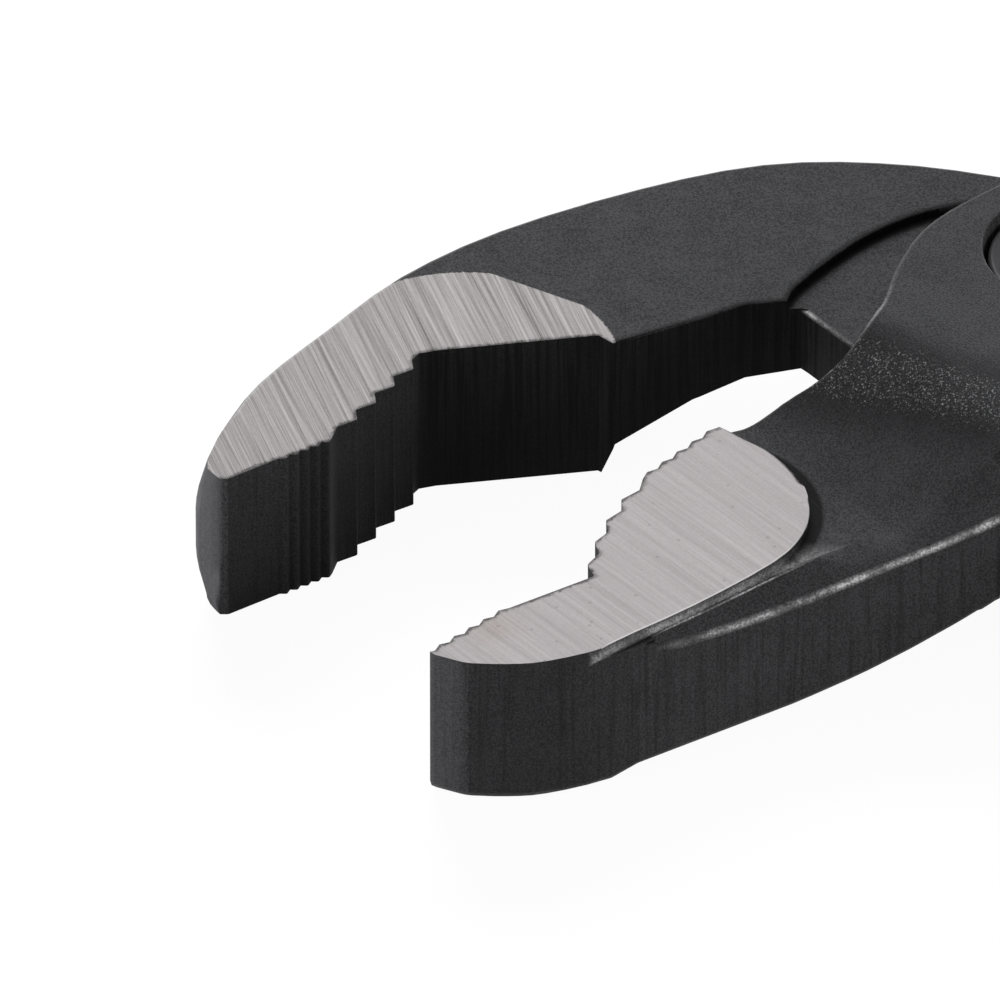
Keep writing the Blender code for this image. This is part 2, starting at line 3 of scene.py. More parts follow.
import bmesh
import bpy
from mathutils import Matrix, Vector


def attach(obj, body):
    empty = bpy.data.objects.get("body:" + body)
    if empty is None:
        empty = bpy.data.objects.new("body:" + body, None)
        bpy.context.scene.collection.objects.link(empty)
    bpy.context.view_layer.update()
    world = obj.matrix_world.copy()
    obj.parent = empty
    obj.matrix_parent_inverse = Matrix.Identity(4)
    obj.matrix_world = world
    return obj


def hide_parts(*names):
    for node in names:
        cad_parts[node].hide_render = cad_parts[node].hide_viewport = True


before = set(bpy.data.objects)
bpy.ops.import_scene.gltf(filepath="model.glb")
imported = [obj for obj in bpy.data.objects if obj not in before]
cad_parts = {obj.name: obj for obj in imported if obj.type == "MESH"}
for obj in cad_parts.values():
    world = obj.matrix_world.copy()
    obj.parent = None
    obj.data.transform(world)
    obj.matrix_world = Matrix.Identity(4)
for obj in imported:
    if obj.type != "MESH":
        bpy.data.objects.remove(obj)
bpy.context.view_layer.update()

mm = 0.001
wallLean = 0.4  # a wall's normal points up or down by less than this
ridgeLean = 0.36  # and those of two walls that meet at a ridge by less than this
flatLean = 0.45  # a flat face's normal points up or down by more than this
flatInPlan = (1.0, 1.0, 0.0)  # a place times this loses its height
print("frame loaded:", len(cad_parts), "CAD pieces")


def linearColour(code):  # sRGB hex to the linear colour that a node wants
    channels = [int(code[i:i + 2], 16) / 255 for i in (1, 3, 5)]
    return [c / 12.92 if c <= 0.04045 else ((c + 0.055) / 1.055) ** 2.4 for c in channels] + [1.0]


def addNode(tree, kind, inputs=None, **settings):  # an input is a value or a socket to link
    node = tree.nodes.new(kind)
    for name, value in settings.items():
        setattr(node, name, value)
    for name, value in (inputs or {}).items():
        if isinstance(value, bpy.types.NodeSocket):
            tree.links.new(value, node.inputs[name])
        else:
            node.inputs[name].default_value = value
    return node


def startMaterial(name):
    material = bpy.data.materials.new(name)
    material.use_nodes = True
    return material, material.node_tree, material.node_tree.nodes["Principled BSDF"]


def layColours(tree, colour, layers):  # each layer is a share and the colour it lays over those below
    for share, code in layers:
        colour = addNode(tree, "ShaderNodeMix", {
            0: share, 6: colour, 7: linearColour(code)}, data_type="RGBA").outputs[2]
    return colour


# Black phosphated forging: matte and porous, with a fine crystal grain like sandpaper, bright flecks on
# the slope painted as glints, and edges rubbed back to bare steel. Painted light and shade are laid on too:
# the noses' left sides painted paler, deep shade on the inner walls, and shade on the slope, in the
# corners and round the boss. The jaw faces are ground bright, so straight scratches show there. Sizes are
# in millimetres.
forging = {
    "black": "#545456",
    "blackDeep": "#353536",
    "deepShade": "#0d0d0e",  # painted deep shade on the inner walls, the boss wall and the outer wall by the nose; also the torn rim's painted shade
    "paintedNoseLight": "#7a7a7d",  # painted light: the noses' left-facing sides painted paler
    # painted shade on the slope, in inner corners and round the boss's foot; also the darkest tone of the
    # trimming streaks
    "streakAndShade": "#161617",
    # painted glints: the slope's bright flecks
    "paintedGlint": "#c4c4c5",
    "bareEdge": "#bcbbbc",
    # edges burnished by use; on the boss's front rim also a painted highlight
    "burnishAndHighlight": "#e6e4e4",
    "pit": "#5c5856",
    "stain": "#9a8876",
    "patterns": {  # size, detail and roughness of the noise
        "grain": (0.12, 3.0, 0.65),  # drawn coarser than phosphate crystals so that it shows
        "crystal": (0.14, 2.0, 0.7),  # coarser than real for the same reason
        "dies": (2.6, 4.0, 0.55),  # unevenness left by the dies
        "patch": (1.7, 4.0, 0.6),
        "burr": (0.5, 3.0, 0.6)},
    "dragWidth": 0.3,  # trimming marks down the walls
    "dragLength": 9.0,
    "noseFade": 1.2,
    "fleckAxis": (0.54, 0.84, 0.0),  # square to the flecked band
    "fleckBand": (0.8, 3.6),  # all and no painted glints, this far from the band's middle
    # painted shade on the slope, fading out this far from the band's middle
    "shadeBand": (1.6, 4.3),
    "shadeReach": 0.7,
    "footEdge": (-0.15, 0.1),  # all and no painted shade, this far off the crescent's radius
    "tornReach": 0.7,
    "wheelEdge": (0.1, 0.18),  # all and no grinding, off the wheel's radius
    "wheelRagged": 0.3,
    "sideEdge": 0.08,
    "lineDeep": 50.0,
    "pitSpacing": 1.3,
    "stainBand": (1.2, 3.2),
    "stainRagged": 2.2,
    "grainDepth": 0.022,
    "fleckDepth": 0.05,
    "diesDepth": 0.1,
    "dragDepth": 0.07,
    "gloss": 0.06,  # a porous coat traps light and has little gloss
}


def surfaceMarks(tree, ground):  # patterns and masks that the coat and the ground face share
    place = addNode(tree, "ShaderNodeTexCoord").outputs["Object"]
    normal = addNode(tree, "ShaderNodeNewGeometry").outputs["Normal"]
    facing = addNode(tree, "ShaderNodeSeparateXYZ", {0: normal}).outputs
    marks = {"place": place, "facingX": facing["X"], "upness": facing["Z"]}
    marks["alongX"] = addNode(tree, "ShaderNodeSeparateXYZ", {0: place}).outputs["X"]
    for pattern, (size, detail, roughness) in forging["patterns"].items():
        marks[pattern] = addNode(tree, "ShaderNodeTexNoise", {
            "Vector": place, "Scale": 1 / (size * mm), "Detail": detail,
            "Roughness": roughness}).outputs["Fac"]
    for layer in ("wear", "ground", "deepShade"):
        marks[layer] = addNode(tree, "ShaderNodeAttribute", attribute_name=layer).outputs["Fac"]
    rounded = addNode(tree, "ShaderNodeBevel", {
        "Radius": forging["tornReach"] * mm}, samples=6).outputs["Normal"]
    marks["torn"] = addNode(tree, "ShaderNodeVectorMath", {
        0: rounded, 1: ground["toothSide"]}, operation="DOT_PRODUCT").outputs["Value"]
    return marks


def wallDrag(tree, marks):  # trimming marks everywhere, and on the walls alone
    steepness = addNode(tree, "ShaderNodeMath", {0: marks["upness"]}, operation="ABSOLUTE").outputs[0]
    wall = addNode(tree, "ShaderNodeMapRange", {
        "Value": steepness, "From Min": 0.25, "From Max": 0.6,
        "To Min": 1.0, "To Max": 0.0}).outputs["Result"]
    width, length = forging["dragWidth"] * mm, forging["dragLength"] * mm
    dragPlace = addNode(tree, "ShaderNodeMapping", {
        "Vector": marks["place"], "Scale": (width, width, length)}, vector_type="TEXTURE").outputs[0]
    drag = addNode(tree, "ShaderNodeTexNoise", {
        "Vector": dragPlace, "Scale": 1.0, "Detail": 3.0, "Roughness": 0.6}).outputs["Fac"]
    return drag, addNode(tree, "ShaderNodeMath", {0: drag, 1: wall}, operation="MULTIPLY").outputs[0]


def slopeBand(tree, ground, marks):  # faces that climb to the hub, and on them the band of painted glints and the band of painted shade
    climbing = addNode(tree, "ShaderNodeMapRange", {
        "Value": marks["upness"], "From Min": 0.55, "From Max": 0.75}).outputs["Result"]
    run = addNode(tree, "ShaderNodeVectorMath", {
        0: marks["place"], 1: forging["fleckAxis"]}, operation="DOT_PRODUCT").outputs["Value"]
    offMiddle = addNode(tree, "ShaderNodeMath", {
        0: run, 1: ground["fleckMiddle"] * mm}, operation="SUBTRACT").outputs[0]
    offMiddle = addNode(tree, "ShaderNodeMath", {0: offMiddle}, operation="ABSOLUTE").outputs[0]
    shares = [climbing]
    for (full, none), most in ((forging["fleckBand"], 1.0), (forging["shadeBand"], 0.5)):
        band = addNode(tree, "ShaderNodeMapRange", {
            "Value": offMiddle, "From Min": full * mm, "From Max": none * mm, "To Min": most, "To Max": 0.0},
            interpolation_type="SMOOTHSTEP").outputs["Result"]
        shares.append(addNode(tree, "ShaderNodeMath", {
            0: band, 1: climbing}, operation="MULTIPLY").outputs[0])
    return shares


def paintedShadeShare(tree, ground, marks, climbing):  # painted shade in inner corners, from ambient occlusion, and in a crescent round the boss's foot
    corner = addNode(tree, "ShaderNodeAmbientOcclusion", {
        "Distance": forging["shadeReach"] * mm}, samples=8, only_local=True).outputs["AO"]
    streakAndShade = addNode(tree, "ShaderNodeMapRange", {
        "Value": corner, "From Min": 0.72, "From Max": 0.9, "To Min": 0.95, "To Max": 0.0}).outputs["Result"]
    inPlan = addNode(tree, "ShaderNodeVectorMath", {
        0: marks["place"], 1: flatInPlan}, operation="MULTIPLY").outputs[0]
    fromFoot = addNode(tree, "ShaderNodeVectorMath", {
        0: inPlan, 1: [c * mm for c in ground["footCentre"]]}, operation="DISTANCE").outputs["Value"]
    full, none = (ground["footRadius"] + offset for offset in forging["footEdge"])
    crescent = addNode(tree, "ShaderNodeMapRange", {
        "Value": fromFoot, "From Min": full * mm, "From Max": none * mm,
        "To Min": 0.9, "To Max": 0.0}).outputs["Result"]
    crescent = addNode(tree, "ShaderNodeMath", {0: crescent, 1: climbing}, operation="MULTIPLY").outputs[0]
    streakAndShade = addNode(tree, "ShaderNodeMath", {0: streakAndShade, 1: crescent}, operation="MAXIMUM").outputs[0]
    unworn = addNode(tree, "ShaderNodeMath", {
        0: 1.0, 1: marks["wear"]}, operation="SUBTRACT", use_clamp=True).outputs[0]
    return addNode(tree, "ShaderNodeMath", {0: streakAndShade, 1: unworn}, operation="MULTIPLY").outputs[0]


def noseLightShare(tree, ground, marks, tone):  # painted light: the nose's left-facing side painted paler, in patches
    toNose = addNode(tree, "ShaderNodeMapRange", {
        "Value": marks["alongX"], "From Min": ground["noseLightEnd"] * mm,
        "From Max": (ground["noseLightEnd"] + forging["noseFade"]) * mm,
        "To Min": ground["noseLightShare"], "To Max": 0.0}).outputs["Result"]
    facingLeft = addNode(tree, "ShaderNodeMapRange", {
        "Value": marks["facingX"], "From Min": -0.6, "From Max": -0.2,
        "To Min": 1.0, "To Max": 0.0}).outputs["Result"]
    paintedNoseLight = addNode(tree, "ShaderNodeMath", {0: toNose, 1: facingLeft}, operation="MULTIPLY").outputs[0]
    patchy = addNode(tree, "ShaderNodeMapRange", {
        "Value": tone, "From Min": 0.35, "From Max": 0.75, "To Min": 0.55, "To Max": 1.0}).outputs["Result"]
    return addNode(tree, "ShaderNodeMath", {0: paintedNoseLight, 1: patchy}, operation="MULTIPLY").outputs[0]


def wornShare(tree, marks):  # rubbed edges, broken up by patches and by the grain
    patchy = addNode(tree, "ShaderNodeMapRange", {
        "Value": marks["patch"], "From Min": 0.36, "From Max": 0.6,
        "To Min": 0.35, "To Max": 1.0}).outputs["Result"]
    speckle = addNode(tree, "ShaderNodeMapRange", {
        "Value": marks["crystal"], "From Min": 0.4, "From Max": 0.6,
        "To Min": 0.35, "To Max": 1.0}).outputs["Result"]
    broken = addNode(tree, "ShaderNodeMath", {0: patchy, 1: speckle}, operation="MULTIPLY").outputs[0]
    return addNode(tree, "ShaderNodeMath", {0: marks["wear"], 1: broken}, operation="MULTIPLY").outputs[0]


def phosphateCoat(tree, ground, marks, worn):  # the coat's colour, roughness and height
    drag, dragOnWall = wallDrag(tree, marks)
    climbing, flecked, shaded = slopeBand(tree, ground, marks)

    # black, uneven in tone, streaked down the walls, and painted deeper where shade falls on the inner walls
    mixed = addNode(tree, "ShaderNodeMath", {
        0: marks["dies"], 1: 0.16, 2: marks["grain"]}, operation="MULTIPLY_ADD").outputs[0]
    tone = addNode(tree, "ShaderNodeMapRange", {
        "Value": mixed, "From Min": 0.48, "From Max": 0.68}).outputs["Result"]
    black = addNode(tree, "ShaderNodeMix", {
        0: tone, 6: linearColour(forging["blackDeep"]), 7: linearColour(forging["black"])},
        data_type="RGBA").outputs[2]
    dragTone = addNode(tree, "ShaderNodeMapRange", {
        "Value": dragOnWall, "From Min": 0.48, "From Max": 0.66, "To Max": 0.42}).outputs["Result"]
    streak = addNode(tree, "ShaderNodeMapRange", {
        "Value": drag, "From Min": 0.42, "From Max": 0.66, "To Min": 1.0, "To Max": 0.62}).outputs["Result"]
    deepShadeStreak = addNode(tree, "ShaderNodeMath", {
        0: marks["deepShade"], 1: streak}, operation="MULTIPLY").outputs[0]

    # painted glints: flecks painted bright as if they catch the light, dense in the band and rare beside it
    threshold = addNode(tree, "ShaderNodeMapRange", {
        "Value": flecked, "To Min": 0.8, "To Max": 0.56}).outputs["Result"]
    over = addNode(tree, "ShaderNodeMath", {
        0: marks["crystal"], 1: threshold}, operation="SUBTRACT").outputs[0]
    paintedGlints = addNode(tree, "ShaderNodeMapRange", {
        "Value": over, "From Min": 0.0, "From Max": 0.16, "To Max": 0.75}).outputs["Result"]

    # the ground face's rim towards the teeth is torn, and painted dark as shade where it turns down
    tornRimAndShade = addNode(tree, "ShaderNodeMapRange", {
        "Value": marks["torn"], "From Min": 0.05, "From Max": 0.3, "To Max": 0.85}).outputs["Result"]
    tornRimAndShade = addNode(tree, "ShaderNodeMath", {
        0: tornRimAndShade, 1: marks["ground"]}, operation="MULTIPLY").outputs[0]

    # painted light and shade in these layers: the noses' paler left sides, the walls' deep shade, the slope's
    # shade, the glints, the corner and crescent shade and the torn rim's shade; the trimming streaks and worn
    # edges are the coat's own
    colour = layColours(tree, black, (
        (dragTone, forging["streakAndShade"]),
        (noseLightShare(tree, ground, marks, mixed), forging["paintedNoseLight"]),
        (deepShadeStreak, forging["deepShade"]),
        (shaded, forging["streakAndShade"]),
        (paintedGlints, forging["paintedGlint"]),
        (paintedShadeShare(tree, ground, marks, climbing), forging["streakAndShade"]),
        (tornRimAndShade, forging["deepShade"]),
        (worn, forging["bareEdge"])))
    rough = addNode(tree, "ShaderNodeMapRange", {
        "Value": marks["grain"], "From Min": 0.3, "From Max": 0.7,
        "To Min": 0.55, "To Max": 0.7}).outputs["Result"]
    grainDepth = addNode(tree, "ShaderNodeMapRange", {
        "Value": flecked, "To Min": forging["grainDepth"] * mm,
        "To Max": forging["fleckDepth"] * mm}).outputs["Result"]
    height = addNode(tree, "ShaderNodeMath", {
        0: marks["grain"], 1: grainDepth}, operation="MULTIPLY").outputs[0]
    for pattern, depth in ((marks["dies"], forging["diesDepth"]), (dragOnWall, forging["dragDepth"])):
        height = addNode(tree, "ShaderNodeMath", {
            0: pattern, 1: depth * mm, 2: height}, operation="MULTIPLY_ADD").outputs[0]
    return colour, rough, height


def wheelShare(tree, ground, marks):  # flat faces inside the wheel's arc or on the nose, less the burrs
    fromCentre = addNode(tree, "ShaderNodeVectorMath", {
        0: marks["place"], 1: [c * mm for c in ground["centre"]]}, operation="SUBTRACT").outputs[0]
    inPlan = addNode(tree, "ShaderNodeVectorMath", {
        0: fromCentre, 1: flatInPlan}, operation="MULTIPLY").outputs[0]
    reach = addNode(tree, "ShaderNodeVectorMath", {0: inPlan}, operation="LENGTH").outputs["Value"]
    ragged = addNode(tree, "ShaderNodeMath", {
        0: marks["crystal"], 1: forging["wheelRagged"] * mm, 2: reach}, operation="MULTIPLY_ADD").outputs[0]
    full, none = (ground["radius"] + offset for offset in forging["wheelEdge"])
    arc = addNode(tree, "ShaderNodeMapRange", {
        "Value": ragged, "From Min": full * mm, "From Max": none * mm,
        "To Min": 1.0, "To Max": 0.0}).outputs["Result"]
    across = addNode(tree, "ShaderNodeVectorMath", {
        0: inPlan, 1: ground["flatSide"]}, operation="DOT_PRODUCT").outputs["Value"]
    side = addNode(tree, "ShaderNodeMapRange", {
        "Value": across, "From Min": ground["flatReach"] * mm,
        "From Max": (ground["flatReach"] + forging["sideEdge"]) * mm,
        "To Min": 1.0, "To Max": 0.0}).outputs["Result"]
    wheel = addNode(tree, "ShaderNodeMath", {0: arc, 1: side}, operation="MINIMUM").outputs[0]
    nose = addNode(tree, "ShaderNodeMath", {
        0: marks["alongX"], 1: ground["noseFrom"] * mm}, operation="LESS_THAN").outputs[0]
    inside = addNode(tree, "ShaderNodeMath", {0: wheel, 1: nose}, operation="MAXIMUM").outputs[0]
    left = addNode(tree, "ShaderNodeMath", {
        0: marks["torn"], 1: -0.8, 2: marks["burr"]}, operation="MULTIPLY_ADD").outputs[0]
    kept = addNode(tree, "ShaderNodeMapRange", {
        "Value": left, "From Min": 0.12, "From Max": 0.2}).outputs["Result"]
    inside = addNode(tree, "ShaderNodeMath", {0: inside, 1: kept}, operation="MULTIPLY").outputs[0]
    return addNode(tree, "ShaderNodeMath", {0: inside, 1: marks["ground"]}, operation="MULTIPLY").outputs[0]


def groundSteel(tree, ground, marks):  # the ground face's colour, roughness and height
    # long fine scratches beside broader, fainter bands that lean a little
    lines = []
    for length, width, lean, detail in ((ground["lineLength"], ground["lineWidth"], 0.0, 2.0),
                                        (2 * ground["lineLength"], ground["bandWidth"], 3.0, 3.0)):
        turn = math.radians(ground["lineAngle"]) + math.radians(lean)
        linePlace = addNode(tree, "ShaderNodeMapping", {
            "Vector": marks["place"], "Rotation": (0.0, 0.0, turn),
            "Scale": (length * mm, width * mm, forging["lineDeep"] * mm)}, vector_type="TEXTURE").outputs[0]
        lines.append(addNode(tree, "ShaderNodeTexNoise", {
            "Vector": linePlace, "Scale": 1.0, "Detail": detail, "Roughness": 0.6}).outputs["Fac"])
    both = addNode(tree, "ShaderNodeMath", {0: lines[0], 1: lines[1]}, operation="ADD").outputs[0]
    mottled = addNode(tree, "ShaderNodeMath", {
        0: marks["crystal"], 1: ground["mottle"], 2: both}, operation="MULTIPLY_ADD").outputs[0]
    middle = 1.0 + 0.5 * ground["mottle"]
    lineTone = addNode(tree, "ShaderNodeMapRange", {
        "Value": mottled, "From Min": middle - ground["lineSpread"],
        "From Max": middle + ground["lineSpread"]}).outputs["Result"]
    steel = addNode(tree, "ShaderNodeMix", {
        0: lineTone, 6: linearColour(ground["dark"]), 7: linearColour(ground["light"])},
        data_type="RGBA").outputs[2]

    # small pits, a faint stain, and edges burnished by use, painted bright as a highlight on the boss's front
    # rim
    fromPit = addNode(tree, "ShaderNodeTexVoronoi", {
        "Vector": marks["place"], "Scale": 1 / (forging["pitSpacing"] * mm),
        "Randomness": 1.0}).outputs["Distance"]
    pits = addNode(tree, "ShaderNodeMapRange", {
        "Value": fromPit, "From Min": 0.04, "From Max": 0.11,
        "To Min": ground["pits"], "To Max": 0.0}).outputs["Result"]
    fromStain = addNode(tree, "ShaderNodeVectorMath", {
        0: marks["place"], 1: [c * mm for c in ground["stainAt"]]}, operation="DISTANCE").outputs["Value"]
    stainShape = addNode(tree, "ShaderNodeMath", {
        0: marks["patch"], 1: forging["stainRagged"] * mm, 2: fromStain}, operation="MULTIPLY_ADD").outputs[0]
    full, none = forging["stainBand"]
    stain = addNode(tree, "ShaderNodeMapRange", {
        "Value": stainShape, "From Min": full * mm, "From Max": none * mm,
        "To Min": ground["stain"], "To Max": 0.0}).outputs["Result"]
    colour = layColours(tree, steel, (
        (pits, forging["pit"]), (stain, forging["stain"]), (marks["wear"], forging["burnishAndHighlight"])))
    rough = addNode(tree, "ShaderNodeMapRange", {
        "Value": lineTone, "To Min": 0.44, "To Max": 0.36}).outputs["Result"]
    height = addNode(tree, "ShaderNodeMath", {
        0: both, 1: ground["lineDepth"] * mm}, operation="MULTIPLY").outputs[0]
    return colour, rough, height


def forgedSteel(name, ground):
    material, tree, shader = startMaterial(name)
    marks = surfaceMarks(tree, ground)
    worn = wornShare(tree, marks)
    coatColour, coatRough, coatHeight = phosphateCoat(tree, ground, marks, worn)
    steelColour, steelRough, steelHeight = groundSteel(tree, ground, marks)
    bright = wheelShare(tree, ground, marks)
    bareness = addNode(tree, "ShaderNodeMath", {
        0: worn, 1: 0.7, 2: bright}, operation="MULTIPLY_ADD", use_clamp=True).outputs[0]
    colour = addNode(tree, "ShaderNodeMix", {
        0: bright, 6: coatColour, 7: steelColour}, data_type="RGBA").outputs[2]
    rough = addNode(tree, "ShaderNodeMix", {
        0: bareness, 2: coatRough, 3: steelRough}, data_type="FLOAT").outputs[0]
    height = addNode(tree, "ShaderNodeMix", {
        0: bright, 2: coatHeight, 3: steelHeight}, data_type="FLOAT").outputs[0]
    bump = addNode(tree, "ShaderNodeBump", {  # heights are in metres, so the distance is 1
        "Height": height, "Distance": 1.0, "Strength": 1.0}).outputs[0]
    for socket, value in (("Base Color", colour), ("Roughness", rough),
                          ("Metallic", bareness), ("Normal", bump)):
        tree.links.new(value, shader.inputs[socket])
    shader.inputs["Specular IOR Level"].default_value = forging["gloss"]
    return material


# Oiled bolt steel: turned, darkened, so fine rings round the axis and a soft sheen. Sizes in millimetres.
boltFinish = {"dark": "#2b2b2c", "light": "#424244", "worn": "#8d8d8f", "ring": 0.12, "ringDepth": 0.012,
              "oilPatch": 2.0, "metallic": 0.75}


def boltSteel(name):
    material, tree, shader = startMaterial(name)
    place = addNode(tree, "ShaderNodeTexCoord").outputs["Object"]
    inPlan = addNode(tree, "ShaderNodeVectorMath", {0: place, 1: flatInPlan}, operation="MULTIPLY").outputs[0]
    reach = addNode(tree, "ShaderNodeVectorMath", {0: inPlan}, operation="LENGTH").outputs["Value"]
    ringPlace = addNode(tree, "ShaderNodeCombineXYZ", {"X": reach}).outputs[0]
    rings = addNode(tree, "ShaderNodeTexNoise", {
        "Vector": ringPlace, "Scale": 1 / (boltFinish["ring"] * mm), "Detail": 3.0,
        "Roughness": 0.7}).outputs["Fac"]
    oilAndShade = addNode(tree, "ShaderNodeTexNoise", {
        "Vector": place, "Scale": 1 / (boltFinish["oilPatch"] * mm), "Detail": 4.0,
        "Roughness": 0.6}).outputs["Fac"]
    tone = addNode(tree, "ShaderNodeMath", {0: rings, 1: 0.6, 2: oilAndShade}, operation="MULTIPLY_ADD").outputs[0]
    shade = addNode(tree, "ShaderNodeMapRange", {
        "Value": tone, "From Min": 0.55, "From Max": 1.05}).outputs["Result"]
    colour = addNode(tree, "ShaderNodeMix", {
        0: shade, 6: linearColour(boltFinish["dark"]), 7: linearColour(boltFinish["light"])},
        data_type="RGBA").outputs[2]
    worn = addNode(tree, "ShaderNodeAttribute", attribute_name="wear").outputs["Fac"]
    colour = layColours(tree, colour, ((worn, boltFinish["worn"]),))
    rough = addNode(tree, "ShaderNodeMapRange", {
        "Value": oilAndShade, "To Min": 0.3, "To Max": 0.5}).outputs["Result"]
    height = addNode(tree, "ShaderNodeMath", {
        0: rings, 1: boltFinish["ringDepth"] * mm}, operation="MULTIPLY").outputs[0]
    bump = addNode(tree, "ShaderNodeBump", {"Height": height, "Distance": 1.0}).outputs[0]
    for socket, value in (("Base Color", colour), ("Roughness", rough), ("Normal", bump)):
        tree.links.new(value, shader.inputs[socket])
    shader.inputs["Metallic"].default_value = boltFinish["metallic"]
    return material


# Moulded plastics: black polypropylene, a little polished where hands rub it, and a dull grey elastomer,
# both with spark-eroded grain from the mould. Sizes in millimetres.
plastic = {"cloud": 18.0, "ior": 1.49, "gloss": 0.28}  # the mould's fine grain breaks up the gloss
coreFinish = {"dark": "#1c1c1d", "light": "#262627", "grain": 0.35, "grainDepth": 0.03, "rough": (0.42, 0.52)}
padFinish = {"dark": "#424244", "light": "#4e4e50", "grain": 0.22, "grainDepth": 0.02, "rough": (0.7, 0.82)}


def mouldedPlastic(name, finish):
    material, tree, shader = startMaterial(name)
    place = addNode(tree, "ShaderNodeTexCoord").outputs["Object"]
    grain = addNode(tree, "ShaderNodeTexNoise", {
        "Vector": place, "Scale": 1 / (finish["grain"] * mm), "Detail": 4.0, "Roughness": 0.6}).outputs["Fac"]
    cloud = addNode(tree, "ShaderNodeTexNoise", {
        "Vector": place, "Scale": 1 / (plastic["cloud"] * mm), "Detail": 3.0,
        "Roughness": 0.5}).outputs["Fac"]
    tone = addNode(tree, "ShaderNodeMath", {0: grain, 1: 0.5, 2: cloud}, operation="MULTIPLY_ADD").outputs[0]
    shade = addNode(tree, "ShaderNodeMapRange", {
        "Value": tone, "From Min": 0.5, "From Max": 1.0}).outputs["Result"]
    colour = addNode(tree, "ShaderNodeMix", {
        0: shade, 6: linearColour(finish["dark"]), 7: linearColour(finish["light"])},
        data_type="RGBA").outputs[2]
    polished, dull = finish["rough"]
    rough = addNode(tree, "ShaderNodeMapRange", {
        "Value": cloud, "From Min": 0.3, "From Max": 0.7,
        "To Min": polished, "To Max": dull}).outputs["Result"]
    height = addNode(tree, "ShaderNodeMath", {
        0: grain, 1: finish["grainDepth"] * mm}, operation="MULTIPLY").outputs[0]
    bump = addNode(tree, "ShaderNodeBump", {"Height": height, "Distance": 1.0}).outputs[0]
    for socket, value in (("Base Color", colour), ("Roughness", rough), ("Normal", bump)):
        tree.links.new(value, shader.inputs[socket])
    shader.inputs["IOR"].default_value = plastic["ior"]
    shader.inputs["Specular IOR Level"].default_value = plastic["gloss"]
    return material


cleaning = {"weld": 0.002, "flatAngle": 0.6, "sliver": 0.08}  # millimetres and degrees


def mergedCopy(node):  # a CAD piece's loose triangles, merged into its flat faces
    work = bmesh.new()
    work.from_mesh(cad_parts[node].data)
    bmesh.ops.remove_doubles(work, verts=work.verts, dist=cleaning["weld"] * mm)
    bmesh.ops.dissolve_limit(work, angle_limit=math.radians(cleaning["flatAngle"]),
                             verts=work.verts, edges=work.edges)
    bmesh.ops.dissolve_degenerate(work, edges=work.edges, dist=cleaning["sliver"] * mm)
    work.normal_update()
    work.verts.layers.float.new("wear")
    for name in ("ground", "deepShade"):
        work.faces.layers.float.new(name)
    return work


def middleOf(edge):
    return (edge.verts[0].co + edge.verts[1].co) / 2 / mm


def isOuter(edge):  # between two faces that turn away from each other
    return len(edge.link_faces) == 2 and edge.is_convex


def isWall(face):
    return abs(face.normal.z) < wallLean


def rims(work, upwards, test, steepest=wallLean):  # edges between a face that looks up (or down) and a wall
    found = []
    for edge in filter(isOuter, work.edges):
        flat, wall = sorted(edge.link_faces, key=lambda f: -f.normal.z * upwards)
        if flat.normal.z * upwards > flatLean and abs(wall.normal.z) < steepest:
            if test(middleOf(edge), wall.normal):
                found.append(edge)
    return found


def ridges(work, test, least=25, most=180):  # upright edges between two walls, that turn by so many degrees
    found = []
    for edge in filter(isOuter, work.edges):
        if math.radians(least) < edge.calc_face_angle() < math.radians(most):
            if max(abs(face.normal.z) for face in edge.link_faces) < ridgeLean and test(middleOf(edge)):
                found.append(edge)
    return found


# the middle of each rounded strip gets the mark, which may change from place to place
def roundEdges(work, edges, width, segments, mark=0.0, ground=None):
    made = bmesh.ops.bevel(work, geom=edges, offset=width * mm, offset_type="OFFSET", affect="EDGES",
                           segments=segments, profile=0.5, material=-1, clamp_overlap=False)
    strip = set(made["faces"])
    marks = work.verts.layers.float["wear"]
    for vert in made["verts"]:
        if all(face in strip for face in vert.link_faces):
            vert[marks] = mark(vert.co / mm) if callable(mark) else mark
    if ground is not None:
        for face in strip:
            face[work.faces.layers.float["ground"]] = ground
    work.normal_update()
    return made["verts"]


def cutAcross(work, place, normal, tolerance):  # a cut through the whole piece, places in millimetres
    return bmesh.ops.bisect_plane(work, geom=work.verts[:] + work.edges[:] + work.faces[:],
                                  dist=tolerance * mm, plane_co=place * mm, plane_no=normal)


def placePiece(work, name, piece, material):
    mesh = bpy.data.meshes.new(name)
    work.to_mesh(mesh)
    work.free()
    mesh.materials.clear()
    mesh.materials.append(material)
    mesh.shade_smooth()
    mesh.set_sharp_from_angle(angle=math.radians(piece["sharp"]))
    item = bpy.data.objects.new(name, mesh)
    bpy.context.scene.collection.objects.link(item)
    weighted = item.modifiers.new("evenShading", "WEIGHTED_NORMAL")
    weighted.keep_sharp = True
    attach(item, piece["body"])
    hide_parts(piece["node"])
    print("made", name, len(mesh.polygons), "faces")


